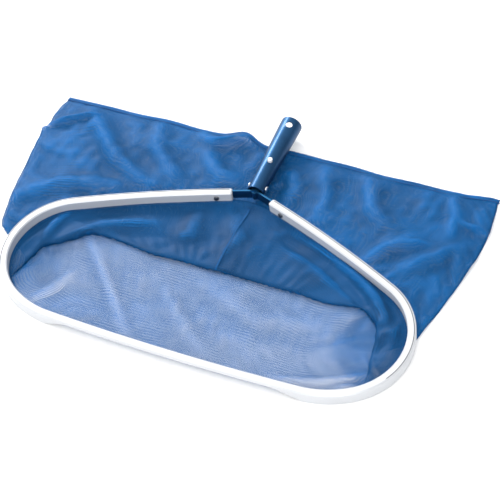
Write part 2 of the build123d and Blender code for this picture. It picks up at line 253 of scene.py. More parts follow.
def curve_through(points, count=200):
    """Evenly spaced points on a soft line through a few points."""
    table = np.array(points, dtype=float)
    reach = np.concatenate([[0], np.cumsum(np.hypot(*np.diff(table, axis=0).T))])
    fine = np.linspace(0, reach[-1], count)
    kernel = np.hanning(count // 6 * 2 + 1)
    kernel /= kernel.sum()
    half = len(kernel) // 2
    lines = []
    for column in range(2):
        line = np.interp(fine, reach, table[:, column])
        padded = np.concatenate([2 * line[0] - line[half:0:-1], line, 2 * line[-1] - line[-2:-half - 2:-1]])
        lines.append(np.convolve(padded, kernel, mode="valid"))
    return lines


def rolls(x, y, folds):
    """Height that a list of soft folds adds at each point of the cloth."""
    total = np.zeros_like(x)
    count = 60
    for points, height, width in folds:
        line_x, line_y = curve_through(points, count)
        near = np.full(x.shape, 1e9)
        share = np.zeros_like(x)
        for i, (px, py) in enumerate(zip(line_x, line_y)):
            distance = (x - px) ** 2 + (y - py) ** 2
            closer = distance < near
            near = np.where(closer, distance, near)
            share = np.where(closer, i / (count - 1), share)
        taper = np.sin(math.pi * np.clip(share * 0.9 + 0.05, 0, 1)) ** 0.7
        total += height * taper * np.exp(-near / width ** 2)
    return total


def fold_line(distance):
    """X and Y of the fold of the doubled part, by distance round the mouth."""
    along = np.abs(distance)
    result = []
    for points in (FOLD_RIGHT, FOLD_LEFT):
        table = np.array(points, dtype=float)
        fine = np.linspace(table[0, 0], table[-1, 0], 400)
        for column in (1, 2):
            line = np.interp(fine, table[:, 0], table[:, column])
            kernel = np.hanning(25)
            padded = np.pad(line, 12, mode="edge")
            result.append(np.interp(along, fine, np.convolve(padded, kernel / kernel.sum(), mode="valid")))
    right = distance >= 0
    return np.where(right, result[0], -result[2]), np.where(right, result[1], result[3])


def edge_line(y, right):
    """Distance of the flattened bag's outer edge from the middle."""
    tables = [np.array(points, dtype=float) for points in (EDGE_RIGHT, EDGE_LEFT)]
    lines = [np.interp(y, table[:, 0], table[:, 1]) for table in tables]
    return np.where(right, lines[0], lines[1])


def share_of_width(distance):
    """Place of each line of cloth across the flattened bag, from -1 to 1."""
    along = np.abs(distance)
    share = np.where(along <= SIDE_FOLD, along / SIDE_FOLD, (HALF_MOUTH - along) / SIDE_FOLD)
    return share * np.where(distance >= 0, 1.0, -1.0)


def hem_line(distance, sizes):
    """X and Y of the hem where the cloth that starts at a distance round the mouth ends."""
    share = share_of_width(distance)
    x = share * np.where(distance >= 0, sizes.hem_right, sizes.hem_left) / MM
    back = sizes.hem_back / MM
    y = (back + 9.0 * kink_at(x) + 6.0 * smooth(235, 280, x) + 1.2 * np.sin(x / 31.0)
         + 0.9 * np.sin(x / 13.0 + 1.0) - 1.5 * smooth(280, 305, -x))
    return x, y


def kink_at(x):
    """Bell-shaped step in the cloth beside the tube, from 0 to 1."""
    return np.exp(-((x - KINK_X) / KINK_WIDTH) ** 2)


def ripples(u, v, seed, waves, shortest, longest):
    """Sum of soft waves over the flat cloth, about -1 to 1."""
    random = np.random.RandomState(seed)
    total = np.zeros_like(u)
    for _ in range(waves):
        length = random.uniform(shortest, longest)
        angle = random.uniform(0, math.pi)
        phase = random.uniform(0, 2 * math.pi)
        bend = 0.25 * longest * np.sin(u / random.uniform(0.7, 1.6) / longest * 2 + phase)
        across = u * math.cos(angle) + (v + bend) * math.sin(angle)
        total += np.sin(2 * math.pi * across / length + phase)
    return total / math.sqrt(waves) / 1.5


def mouth_columns(sizes):
    """Distance round the mouth of each column of the bag's grid."""
    return np.linspace(-HALF_MOUTH, HALF_MOUTH, sizes.columns + 1)[:-1]


def bag_plan(sizes):
    """The bag seen from above, as rows from the mouth to the hem, and how far along the cloth
    each point is."""
    s = mouth_columns(sizes)
    t = np.linspace(0.0, 1.0, sizes.rows + 1)
    mouth_x, mouth_y = rim_path(s, SLOT_OFFSET)
    fold_x, fold_y = fold_line(s)
    direct = np.abs(s) < FOLD_START
    fold_x = np.where(direct, mouth_x, fold_x)
    fold_y = np.where(direct, mouth_y, fold_y)
    hem_x, hem_y = hem_line(s, sizes)
    ends = (fold_x, fold_y, hem_x, hem_y, share_of_width(s)[None, :], (s >= 0)[None, :])
    top_length = np.hypot(fold_x - mouth_x, fold_y - mouth_y)[None, :]
    # The side edges need more cloth than a straight line, so their rows are spread by length.
    steps = np.linspace(0, 1, 121)[:, None]
    way_x, way_y = returning_path(steps, *ends)
    walked = np.concatenate([np.zeros((1, len(s))),
                             np.cumsum(np.hypot(np.diff(way_x, axis=0), np.diff(way_y, axis=0)), axis=0)])
    whole = top_length + walked[-1][None, :]
    walk = t[:, None] * whole
    on_top = walk < top_length
    out_share = np.clip(walk / np.maximum(top_length, 1e-6), 0, 1)
    back_share = np.stack([np.interp(walk[:, c] - top_length[0, c], walked[:, c], steps[:, 0])
                           for c in range(len(s))], axis=1)
    back_x, back_y = returning_path(back_share, *ends)
    x = np.where(on_top, mouth_x + (fold_x - mouth_x) * out_share, back_x)
    y = np.where(on_top, mouth_y + (fold_y - mouth_y) * out_share, back_y)
    along = np.abs(s)[None, :]
    return SimpleNamespace(s=s, along=along, x=x, y=y, walk=walk, whole=whole, top_length=top_length,
                           on_top=on_top, back_share=back_share, slot_bottom=rim_bottom(mouth_y)[None, :],
                           upper=smooth(SIDE_FOLD - 14, SIDE_FOLD + 14, along),
                           fold_reach=smooth(2, 16, top_length))


def layer_heights(plan, rolled):
    """Height of the cloth before its ripples: the doubled part over the part that returns."""
    walk = plan.walk
    under = rim_bottom(plan.y)
    # The two layers lie close together under the rim and puff up where nothing holds them.
    puff = np.minimum(1.5 + 0.5 * smooth(0.4, 1.0, plan.back_share), 0.45 * under + 0.3)
    returning = GROUND_LAYER + plan.upper * puff
    past_fold = np.exp(-np.clip(walk - plan.top_length, 0, None) / 10.0)
    returning = returning + np.where(plan.on_top, 0.0, 0.7 * plan.fold_reach * past_fold)
    top = returning + 1.2 + 3.0 * plan.fold_reach
    top = top + 1.6 * rolled
    top = np.maximum(top, returning + 1.0)
    # The rolls stay below the rim's top face.
    highest = under + HIGHEST_ROLL
    top = highest * np.tanh(top / highest)
    top = top + (plan.slot_bottom + MOUTH_RISE - top) * np.exp(-(walk / 7.0) ** 1.5)
    to_fold = np.clip((plan.top_length - walk) / 5.0, 0, 1)
    curl = np.sqrt(np.clip(1 - (1 - to_fold) ** 2, 0, 1))
    z = np.where(plan.on_top, returning + (top - returning) * curl, returning)
    drop = GROUND_LAYER + (plan.slot_bottom + MOUTH_RISE - GROUND_LAYER) * np.exp(-walk / 3.0)
    mix = np.clip(plan.fold_reach / 0.3, 0, 1)
    return drop * (1 - mix) + z * mix


def ripple_heights(plan, sizes, flat_u):
    """What ripples and folds add to the doubled part, and to the part that returns."""
    x, y, walk = plan.x, plan.y, plan.walk
    large = ripples(x, y, 7, 10, 42, 100)
    medium = ripples(flat_u, walk, 11, 10, 16, 36)
    height = sizes.ripple / MM
    lift = height * (0.5 + 0.8 * large) + 0.35 * height * medium
    lift = np.maximum(lift, 0.0)
    to_hem = plan.whole - walk
    inside = inside_mouth(x, y)
    seam_hold = 0.25 + 0.75 * smooth(0, 22, to_hem)
    clear = 1 - np.exp(-(edge_distance(x, y) / 9.0) ** 2)
    behind = (1 - inside) * clear
    raised = behind * seam_hold * (lift + 2.2 * rolls(x, y, ROLLS_BEHIND))
    below = 0.6 * lift + 1.8 * rolls(x, y, ROLLS_BELOW) * (1 - np.exp(-walk / 8.0))
    kink = 6.0 * kink_at(x) * (1 - smooth(0, 34, to_hem))
    upper = plan.upper
    returning_lift = upper * raised + (1 - upper) * (0.35 * raised + inside * clear * below) + kink
    return 0.6 * lift * (1 - np.exp(-walk / 9.0)), returning_lift


def bag_grid(sizes):
    """Points of the bag in millimetres, as rows from the mouth to the hem, their place on the
    flat cloth, and the painted shading: how crested or hollow the cloth is there, lowered along the
    doubled part's fold, for painted light on crests and painted shade in hollows and along the fold."""
    plan = bag_plan(sizes)
    x, y = plan.x, plan.y
    rolled = rolls(x, y, ROLLS_INSIDE) * (1 - np.exp(-plan.walk / 8.0)) * plan.fold_reach
    z = layer_heights(plan, rolled)
    flat_u = np.broadcast_to(plan.s[None, :], z.shape)
    top_lift, returning_lift = ripple_heights(plan, sizes, flat_u)
    z = z + np.where(plan.on_top, top_lift, returning_lift)
    # The cloth lies low under the tube, clear of the lower button.
    under_button = np.exp(-(((x - BUTTON_X) / 16.0) ** 2 + ((y - BUTTON_Y) / 18.0) ** 2) ** 2)
    z = z - under_button * np.maximum(z - 1.0 - 0.6 * plan.upper, 0.0)
    # Painted shade: the doubled part is darkened by its fold, most just inside the fold's edge
    #     and from about 200 to 300 mm round the mouth.
    fold_shade = 1.8 + 0.7 * np.exp(-((plan.top_length - plan.walk - 12.0) / 14.0) ** 2)
    fold_shade = fold_shade + 2.0 * smooth(196, 214, plan.along) * (1 - smooth(285, 330, plan.along))
    doubled = 2.2 * crests(1.8 * rolled + top_lift) - fold_shade * plan.fold_reach
    # Painted shading: high on crests for painted light, low in hollows and along the fold for painted
    # shade.
    painted_shading = np.where(plan.on_top, doubled, crests(returning_lift))
    return x, y, z, flat_u, plan.walk, painted_shading


def crests(z):
    """How far each point of the cloth stands above its surroundings, from -1 to 1."""
    around = z.copy()
    smoothing_passes = 14
    for _ in range(smoothing_passes):
        beside = (np.roll(around, 1, axis=1) + np.roll(around, -1, axis=1)) / 2
        padded = np.pad(around, ((1, 1), (0, 0)), mode="edge")
        around = (beside + (padded[2:] + padded[:-2]) / 2) / 2
    return np.tanh((z - around) / 1.6)


def returning_path(b, fold_x, fold_y, hem_x, hem_y, share, right):
    """X and Y of the cloth between the fold and the hem, by share of the way."""
    y = fold_y + (hem_y - fold_y) * b
    spread = share * edge_line(y, right)
    straight = fold_x + (hem_x - fold_x) * b
    at_side = np.exp(-((np.abs(share) - 0.96) / 0.14) ** 2)
    flatten = smooth(0.0, 1.0, b / (0.16 - 0.10 * at_side))
    end = smooth(0.93, 1.0, b)
    x = straight * (1 - flatten) + spread * flatten
    return x * (1 - end) + end * (straight * 0.5 + (hem_x + (x - hem_x) * 0.5) * 0.5), y


def rim_outline():
    """X and Y of points along the middle of the rim's bar."""
    s = np.linspace(-RIM_LENGTH, RIM_LENGTH, 240)
    return rim_path(s, RIM_WIDTH / 2)


def edge_distance(x, y):
    """Distance of each point from the middle of the rim's bar."""
    near = np.full(x.shape, 1e9)
    for px, py in zip(*rim_outline()):
        near = np.minimum(near, (x - px) ** 2 + (y - py) ** 2)
    return np.sqrt(near)


def inside_mouth(x, y):
    """1 where a point is inside the rim's outline, 0 outside, by the crossing rule."""
    line_x, line_y = rim_outline()
    line_x = np.append(line_x, line_x[0])
    line_y = np.append(line_y, line_y[0])
    inside = np.zeros(x.shape, dtype=bool)
    for x1, y1, x2, y2 in zip(line_x, line_y, line_x[1:], line_y[1:]):
        if y1 == y2:
            continue
        crosses = ((y1 > y) != (y2 > y)) & (x < (x2 - x1) * (y - y1) / (y2 - y1) + x1)
        inside ^= crosses
    return inside.astype(float)


def to_frame(x, y, z):
    """Millimetres from the rim's front edge to metres in the frame."""
    return np.stack([x * MM, (y + FRONT_Y) * MM, z * MM], axis=-1)


def new_object(name, mesh):
    obj = bpy.data.objects.new(name, mesh)
    bpy.context.scene.collection.objects.link(obj)
    return obj


def mesh_from_grid(name, points, flat, closed_round):
    """A quad mesh from rows of points, with a UV map in metres on the flat cloth."""
    rows, columns = points.shape[:2]
    index = np.arange(rows * columns).reshape(rows, columns)
    faces = []
    corners = []
    last = columns if closed_round else columns - 1
    for r in range(rows - 1):
        for c in range(last):
            d = (c + 1) % columns
            faces.append((index[r, c], index[r, d], index[r + 1, d], index[r + 1, c]))
            u1 = flat[r, c, 0] + (flat[0, 1, 0] - flat[0, 0, 0])
            corners += [tuple(flat[r, c]), (u1, flat[r, d, 1]), (u1, flat[r + 1, d, 1]),
                        tuple(flat[r + 1, c])]
    mesh = bpy.data.meshes.new(name)
    mesh.from_pydata(points.reshape(-1, 3).tolist(), [], faces)
    layer = mesh.uv_layers.new(name="cloth")
    layer.data.foreach_set("uv", np.array(corners, dtype=float).ravel())
    mesh.shade_smooth()
    return mesh


def apply_modifiers(obj):
    """Turn an object's modifiers into plain mesh."""
    graph = bpy.context.evaluated_depsgraph_get()
    mesh = bpy.data.meshes.new_from_object(obj.evaluated_get(graph), depsgraph=graph)
    obj.modifiers.clear()
    obj.data = mesh
    return obj


def thicken(obj, thickness):
    solid = obj.modifiers.new("thickness", "SOLIDIFY")
    solid.thickness = thickness
    solid.offset = 0.0
    return apply_modifiers(obj)


# ---------------------------------------------------------------- materials


def new_material(name):
    material = bpy.data.materials.new(name)
    material.use_nodes = True
    tree = material.node_tree
    shader = tree.nodes["Principled BSDF"]
    return material, tree, shader


def add(tree, kind, **values):
    node = tree.nodes.new(kind)
    for key, value in values.items():
        setattr(node, key, value)
    return node


def coordinates(tree, output, scale):
    where = add(tree, "ShaderNodeTexCoord")
    mapping = add(tree, "ShaderNodeMapping")
    mapping.inputs["Scale"].default_value = scale
    tree.links.new(where.outputs[output], mapping.inputs["Vector"])
    return mapping.outputs["Vector"]


def noise(tree, vector, scale, detail=3.0, roughness=0.5):
    node = add(tree, "ShaderNodeTexNoise")
    node.inputs["Scale"].default_value = scale
    node.inputs["Detail"].default_value = detail
    node.inputs["Roughness"].default_value = roughness
    tree.links.new(vector, node.inputs["Vector"])
    return node.outputs["Fac"]


def ramp(tree, value, stops):
    node = add(tree, "ShaderNodeValToRGB")
    elements = node.color_ramp.elements
    while len(elements) < len(stops):
        elements.new(0.5)
    for element, (place, colour) in zip(elements, stops):
        element.position = place
        element.color = (*colour, 1.0)
    tree.links.new(value, node.inputs["Fac"])
    return node.outputs["Color"]


def grey(value):
    return (value, value, value)


def shade(colour, factor):
    return tuple(min(c * factor, 1.0) for c in colour)


def bump(tree, height, shader, strength, distance):
    node = add(tree, "ShaderNodeBump")
    node.inputs["Strength"].default_value = strength
    node.inputs["Distance"].default_value = distance
    tree.links.new(height, node.inputs["Height"])
    tree.links.new(node.outputs["Normal"], shader.inputs["Normal"])


def math_node(tree, operation, first, second=0.0):
    node = add(tree, "ShaderNodeMath", operation=operation)
    for socket, value in zip(node.inputs, (first, second)):
        if isinstance(value, float):
            socket.default_value = value
        else:
            tree.links.new(value, socket)
    return node.outputs["Value"]


def map_range(tree, value, low, high, to_low, to_high):
    node = add(tree, "ShaderNodeMapRange", interpolation_type="SMOOTHSTEP")
    for name, number in (("From Min", low), ("From Max", high), ("To Min", to_low), ("To Max", to_high)):
        node.inputs[name].default_value = number
    tree.links.new(value, node.inputs["Value"])
    return node.outputs["Result"]


def thread_grid(tree, pitch, thread):
    """Grid of threads on the flat cloth: 1 on a thread and 0 in a hole. The thread's share of
    the pitch is a number or a socket."""
    vector = coordinates(tree, "UV", (1 / pitch, 1 / pitch, 1))
    brick = add(tree, "ShaderNodeTexBrick", offset=0.0, squash=1.0)
    brick.inputs["Scale"].default_value = 1.0
    brick.inputs["Mortar Smooth"].default_value = 0.2
    brick.inputs["Brick Width"].default_value = 1.0
    brick.inputs["Row Height"].default_value = 1.0
    if isinstance(thread, float):
        brick.inputs["Mortar Size"].default_value = thread / 2
    else:
        tree.links.new(math_node(tree, "MULTIPLY", thread, 0.5), brick.inputs["Mortar Size"])
    tree.links.new(vector, brick.inputs["Vector"])
    return brick.outputs["Fac"]


def wavy_bands(tree, width, distortion):
    """Fine wavy bands on the flat cloth, where the threads crowd together; in the cloth's colour the same
    bands are painted sheen.
    """
    wave = add(tree, "ShaderNodeTexWave", wave_type="BANDS", bands_direction="Y")
    wave.inputs["Scale"].default_value = 0.314 / width
    wave.inputs["Distortion"].default_value = distortion
    wave.inputs["Detail"].default_value = 2.0
    wave.inputs["Detail Scale"].default_value = 0.22
    tree.links.new(coordinates(tree, "UV", (0.55, 1.0, 1.0)), wave.inputs["Vector"])
    return wave.outputs["Fac"]


# Distance round the mouth, in metres, over which the cloth passes from open to bunched.
BUNCHED = (0.192, 0.225)


def mesh_cloth(name, colour, pitch, open_thread, close_thread):
    """Open mesh: the holes between its threads are clear. The half of the cloth that starts at the
    rim's arms is bunched, so its threads stand closer. Painted light and shade come from the
    painted shading: the threads thicken and the colour darkens in hollows and along the doubled
    part's fold, the colour lightens on crests and where the cloth is open, and wavy lines of
    painted sheen run through the bunched half."""
    material, tree, shader = new_material(name)
    where = add(tree, "ShaderNodeTexCoord")
    split = add(tree, "ShaderNodeSeparateXYZ")
    tree.links.new(where.outputs["UV"], split.inputs["Vector"])
    bunched = map_range(tree, math_node(tree, "ABSOLUTE", split.outputs["X"]), *BUNCHED, 0.0, 1.0)
    shading_attribute = add(tree, "ShaderNodeAttribute", attribute_name="painted_shading")
    thread = map_range(tree, bunched, 0.0, 1.0, open_thread, close_thread)
    bands = wavy_bands(tree, 0.0036, 12.0)
    patches = map_range(tree, noise(tree, coordinates(tree, "UV", (1, 1, 1)), 24.0), 0.40, 0.62, 0.12, 0.85)
    # The bands fade where the cloth lies doubled.
    fade = map_range(tree, shading_attribute.outputs["Fac"], -1.8, -0.7, 0.35, 1.0)
    patches = math_node(tree, "MULTIPLY", patches, fade)
    crowd = math_node(tree, "MULTIPLY", map_range(tree, bands, 0.15, 0.85, -0.09, 0.10), patches)
    # Painted shade: thicker threads where the painted shading is low, in hollows and along the fold.
    hollow = math_node(tree, "MULTIPLY", shading_attribute.outputs["Fac"], -0.045)
    crowd = math_node(tree, "MULTIPLY", crowd, map_range(tree, bunched, 0.0, 1.0, 0.72, 1.0))
    thread = math_node(tree, "ADD", math_node(tree, "ADD", thread, crowd), hollow)
    grid = thread_grid(tree, pitch, thread)
    broad = noise(tree, coordinates(tree, "UV", (1, 1, 1)), 13.0, 3.0, 0.5)
    # Painted light on crests and painted shade in hollows and along the fold, from the painted shading.
    lift = map_range(tree, shading_attribute.outputs["Fac"], -1.8, 1.8, -0.25, 0.25)
    level = math_node(tree, "ADD", map_range(tree, broad, 0.3, 0.7, 0.42, 0.58), lift)
    # Painted sheen: wavy lighter and darker lines in the bunched cloth's colour.
    sheen_lines = math_node(tree, "MULTIPLY", map_range(tree, bands, 0.35, 0.85, -0.09, 0.20), patches)
    level = math_node(tree, "ADD", level, math_node(tree, "MULTIPLY", sheen_lines, bunched))
    # Painted light and shade: the close ramp runs from painted shade to painted light; the open ramp is
    # lighter throughout, painted light as if lit through from the white floor.
    close = ramp(tree, level, [(0.0, shade(colour, 0.25)), (0.5, colour), (1.0, shade(colour, 2.0))])
    open_lit_ramp = ramp(tree, level, [(0.0, shade(colour, 0.7)), (0.5, shade(colour, 1.1)),
                               (1.0, shade(colour, 1.9))])
    tint = add(tree, "ShaderNodeMix", data_type="RGBA")
    tree.links.new(bunched, tint.inputs["Factor"])
    tree.links.new(open_lit_ramp, tint.inputs["A"])
    tree.links.new(close, tint.inputs["B"])
    tree.links.new(tint.outputs["Result"], shader.inputs["Base Color"])
    tree.links.new(grid, shader.inputs["Alpha"])
    shader.inputs["Roughness"].default_value = 0.60
    shader.inputs["Specular IOR Level"].default_value = 0.22
    bump(tree, math_node(tree, "MULTIPLY", bands, patches), shader, 0.25, 0.0010)
    return material


def woven_tape(name, colour, pitch):
    material, tree, shader = new_material(name)
    grid = thread_grid(tree, pitch, 0.5)
    tint = ramp(tree, grid, [(0.0, shade(colour, 0.6)), (1.0, shade(colour, 1.25))])
    tree.links.new(tint, shader.inputs["Base Color"])
    shader.inputs["Roughness"].default_value = 0.75
    shader.inputs["Sheen Weight"].default_value = 0.2
    bump(tree, grid, shader, 0.5, 0.0003)
    return material


def sewing_thread(colour):
    material, tree, shader = new_material("sewing thread")
    strands = noise(tree, coordinates(tree, "Object", (1, 1, 1)), 1400.0, 3.0, 0.5)
    tint = ramp(tree, strands, [(0.3, shade(colour, 0.7)), (0.7, shade(colour, 1.5))])
    tree.links.new(tint, shader.inputs["Base Color"])
    shader.inputs["Roughness"].default_value = 0.65
    return material


def satin_metal(name, colour, metallic, low, high, grain):
    """Satin metal or coating with fine drawing lines and soft changes of gloss."""
    material, tree, shader = new_material(name)
    vector = coordinates(tree, "Object", grain)
    lines = noise(tree, vector, 60.0, 4.0, 0.6)
    broad = noise(tree, coordinates(tree, "Object", (1, 1, 1)), 22.0, 3.0, 0.5)
    tint = ramp(tree, broad, [(0.25, shade(colour, 0.95)), (0.75, colour)])
    tree.links.new(tint, shader.inputs["Base Color"])
    rough = ramp(tree, lines, [(0.3, grey(low)), (0.7, grey(high))])
    tree.links.new(rough, shader.inputs["Roughness"])
    shader.inputs["Metallic"].default_value = metallic
    bump(tree, lines, shader, 0.06, 0.0002)
    return material


def gloss_blue(name, colour, roughness):
    """Deep blue anodised metal with faint lengthwise streaks."""
    material, tree, shader = new_material(name)
    streaks = noise(tree, coordinates(tree, "Object", (1.0, 0.03, 1.0)), 420.0, 4.0, 0.6)
    specks = noise(tree, coordinates(tree, "Object", (1, 1, 1)), 55.0, 4.0, 0.6)
    tint = ramp(tree, specks, [(0.3, shade(colour, 0.88)), (0.7, shade(colour, 1.12))])
    tree.links.new(tint, shader.inputs["Base Color"])
    rough = ramp(tree, streaks, [(0.3, grey(roughness)), (0.75, grey(roughness + 0.10))])
    tree.links.new(rough, shader.inputs["Roughness"])
    shader.inputs["Metallic"].default_value = 0.95
    shader.inputs["Coat Weight"].default_value = 0.12
    shader.inputs["Coat Roughness"].default_value = 0.15
    bump(tree, streaks, shader, 0.04, 0.0002)
    return material


def moulded_white(name, colour):
    material, tree, shader = new_material(name)
    grain = noise(tree, coordinates(tree, "Object", (1, 1, 1)), 900.0, 3.0, 0.5)
    tint = ramp(tree, grain, [(0.3, shade(colour, 0.94)), (0.7, colour)])
    tree.links.new(tint, shader.inputs["Base Color"])
    shader.inputs["Roughness"].default_value = 0.3
    shader.inputs["Subsurface Weight"].default_value = 0.1
    shader.inputs["Subsurface Radius"].default_value = (0.001, 0.001, 0.001)
    bump(tree, grain, shader, 0.05, 0.0001)
    return material


def set_finish(node, material):
    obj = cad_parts[node]
    if not obj.material_slots:
        obj.data.materials.append(material)
    for slot in obj.material_slots:
        slot.material = material


# ---------------------------------------------------------------- stitches


def stitch_tree(material):
    """Geometry Nodes tree: one short rounded thread at each step along a line."""
    tree = bpy.data.node_groups.new("stitches", "GeometryNodeTree")
    face = tree.interface
    face.new_socket("Geometry", in_out="INPUT", socket_type="NodeSocketGeometry")
    for name, value in (("Pitch", 0.003), ("Thread length", 0.0022), ("Thread radius", 0.0002)):
        socket = face.new_socket(name, in_out="INPUT", socket_type="NodeSocketFloat")
        socket.default_value = value
    face.new_socket("Geometry", in_out="OUTPUT", socket_type="NodeSocketGeometry")
    start = add(tree, "NodeGroupInput")
    end = add(tree, "NodeGroupOutput")
    line = add(tree, "GeometryNodeMeshToCurve")
    resample = add(tree, "GeometryNodeResampleCurve", mode="LENGTH")
    thread = add(tree, "GeometryNodeMeshUVSphere")
    thread.inputs["Segments"].default_value = 6
    thread.inputs["Rings"].default_value = 4
    thread.inputs["Radius"].default_value = 1.0
    shape = add(tree, "ShaderNodeCombineXYZ")
    half = add(tree, "ShaderNodeMath", operation="MULTIPLY")
    half.inputs[1].default_value = 0.5
    tangent = add(tree, "GeometryNodeInputTangent")
    turn = add(tree, "FunctionNodeAlignRotationToVector", axis="X")
    place = add(tree, "GeometryNodeInstanceOnPoints")
    real = add(tree, "GeometryNodeRealizeInstances")
    paint = add(tree, "GeometryNodeSetMaterial")
    paint.inputs["Material"].default_value = material
    link = tree.links.new
    link(start.outputs["Geometry"], line.inputs["Mesh"])
    link(line.outputs["Curve"], resample.inputs["Curve"])
    link(start.outputs["Pitch"], resample.inputs["Length"])
    link(start.outputs["Thread length"], half.inputs[0])
    link(half.outputs[0], shape.inputs["X"])
    link(start.outputs["Thread radius"], shape.inputs["Y"])
    link(start.outputs["Thread radius"], shape.inputs["Z"])
    link(tangent.outputs["Tangent"], turn.inputs["Vector"])
    link(resample.outputs["Curve"], place.inputs["Points"])
    link(thread.outputs["Mesh"], place.inputs["Instance"])
    link(turn.outputs["Rotation"], place.inputs["Rotation"])
    link(shape.outputs["Vector"], place.inputs["Scale"])
    link(place.outputs["Instances"], real.inputs["Geometry"])
    link(real.outputs["Geometry"], paint.inputs["Geometry"])
    link(paint.outputs["Geometry"], end.inputs["Geometry"])
    return tree


def sew(name, lines, material, pitch, length, radius):
    """A piece made of stitches along polylines."""
    verts = []
    edges = []
    for line in lines:
        first = len(verts)
        verts += [tuple(p) for p in line]
        edges += [(first + i, first + i + 1) for i in range(len(line) - 1)]
    mesh = bpy.data.meshes.new(name)
    mesh.from_pydata(verts, edges, [])
    obj = new_object(name, mesh)
    modifier = obj.modifiers.new("stitches", "NODES")
    tree = stitch_tree(material)
    modifier.node_group = tree
    values = {"Pitch": pitch, "Thread length": length, "Thread radius": radius}
    for item in tree.interface.items_tree:
        if item.in_out == "INPUT" and item.name in values:
            modifier[item.identifier] = values[item.name]
    apply_modifiers(obj)
    obj.data.shade_smooth()
    return obj


# ---------------------------------------------------------------- strips that follow a line


def strip(name, rows, flat_width):
    """Closed strip: each row is a ring of points round the section, from one end to the other."""
    count = len(rows[0])
    verts = [tuple(p) for row in rows for p in row]
    faces = []
    for r in range(len(rows) - 1):
        for c in range(count):
            d = (c + 1) % count
            faces.append((r * count + c, r * count + d, (r + 1) * count + d, (r + 1) * count + c))
    faces.append(tuple(reversed(range(count))))
    faces.append(tuple((len(rows) - 1) * count + c for c in range(count)))
    mesh = bpy.data.meshes.new(name)
    mesh.from_pydata(verts, [], faces)
    layer = mesh.uv_layers.new(name="cloth")
    lengths = [0.0]
    for before, after in zip(rows, rows[1:]):
        lengths.append(lengths[-1] + (Vector(after[0]) - Vector(before[0])).length)
    uvs = []
    for face in mesh.polygons:
        for vertex in face.vertices:
            r, c = divmod(vertex, count)
            uvs += [lengths[r], flat_width * c / count]
    layer.data.foreach_set("uv", uvs)
    bm = bmesh.new()
    bm.from_mesh(mesh)
    bmesh.ops.recalc_face_normals(bm, faces=bm.faces)
    bm.to_mesh(mesh)
    bm.free()
    mesh.shade_smooth()
    return new_object(name, mesh)


# ---------------------------------------------------------------- operators


class SKIMMER_OT_stage(bpy.types.Operator):
    """Floor, surround, lamps and camera"""
    bl_idname = "skimmer.stage"
    bl_label = "Stage"

    def execute(self, context):
        sizes = context.scene.skimmer_stage
        mesh = bpy.data.meshes.new("floor")
        reach = 6.0
        mesh.from_pydata([(-reach, -reach, 0), (reach, -reach, 0), (reach, reach, 0), (-reach, reach, 0)],
                         [], [(0, 1, 2, 3)])
        floor = new_object("floor", mesh)
        material, tree, shader = new_material("pale floor")
        cloudy = noise(tree, coordinates(tree, "Object", (1, 1, 1)), 1.5)
        tint = ramp(tree, cloudy, [(0.3, grey(0.93)), (0.7, grey(0.95))])
        tree.links.new(tint, shader.inputs["Base Color"])
        shader.inputs["Roughness"].default_value = 0.9
        shader.inputs["Specular IOR Level"].default_value = 0.1
        mesh.materials.append(material)
        self.surround(context, sizes)
        self.lamp("key", (-1.7, 1.5, 1.25), 0.7, sizes.key)
        self.lamp("front fill", (0.9, -1.9, 1.9), 1.8, sizes.key * 0.5)
        self.camera(context, sizes)
        context.scene.view_settings.view_transform = "Standard"
        return {"FINISHED"}

    def surround(self, context, sizes):
        world = bpy.data.worlds.new("studio")
        context.scene.world = world
        world.use_nodes = True
        tree = world.node_tree
        where = add(tree, "ShaderNodeTexCoord")
        toward = add(tree, "ShaderNodeVectorMath", operation="DOT_PRODUCT")
        toward.inputs[1].default_value = Vector((-0.62, -0.10, 0.78)).normalized()
        tree.links.new(where.outputs["Generated"], toward.inputs[0])
        spread = add(tree, "ShaderNodeMapRange")
        spread.inputs["From Min"].default_value = -0.75
        spread.inputs["From Max"].default_value = 0.75
        tree.links.new(toward.outputs["Value"], spread.inputs["Value"])
        dark_to_bright = [(0.0, (0.10, 0.11, 0.13)), (0.45, (0.60, 0.61, 0.63)),
                          (0.62, (0.95, 0.96, 0.97)), (1.0, (1.25, 1.25, 1.25))]
        tint = ramp(tree, spread.outputs["Result"], dark_to_bright)
        background = tree.nodes["Background"]
        tree.links.new(tint, background.inputs["Color"])
        background.inputs["Strength"].default_value = sizes.sky

    def lamp(self, name, place, size, power):
        light = bpy.data.lights.new(name, "AREA")
        light.shape = "DISK"
        light.size = size
        light.energy = power
        light.specular_factor = 0.07
        lamp = bpy.data.objects.new(name, light)
        bpy.context.scene.collection.objects.link(lamp)
        lamp.location = place
        lamp.rotation_euler = (Vector((0, 0, 0)) - Vector(place)).to_track_quat("-Z", "Y").to_euler()

    def camera(self, context, sizes):
        back = Vector((math.sin(sizes.azimuth) * math.cos(sizes.elevation),
                       -math.cos(sizes.azimuth) * math.cos(sizes.elevation),
                       math.sin(sizes.elevation)))
        right = back.cross(Vector((0, 0, 1))).normalized() * -1
        up = back.cross(right)
        right_turned = right * math.cos(sizes.roll) + up * math.sin(sizes.roll)
        up_turned = up * math.cos(sizes.roll) - right * math.sin(sizes.roll)
        data = bpy.data.cameras.new("camera")
        data.lens = sizes.lens
        data.sensor_width = 36.0
        camera = bpy.data.objects.new("camera", data)
        context.scene.collection.objects.link(camera)
        place = Vector((sizes.aim_x, sizes.aim_y, 0.010)) + back * sizes.distance
        matrix = Matrix((right_turned, up_turned, back)).transposed().to_4x4()
        matrix.translation = place
        camera.matrix_world = matrix
        context.scene.camera = camera


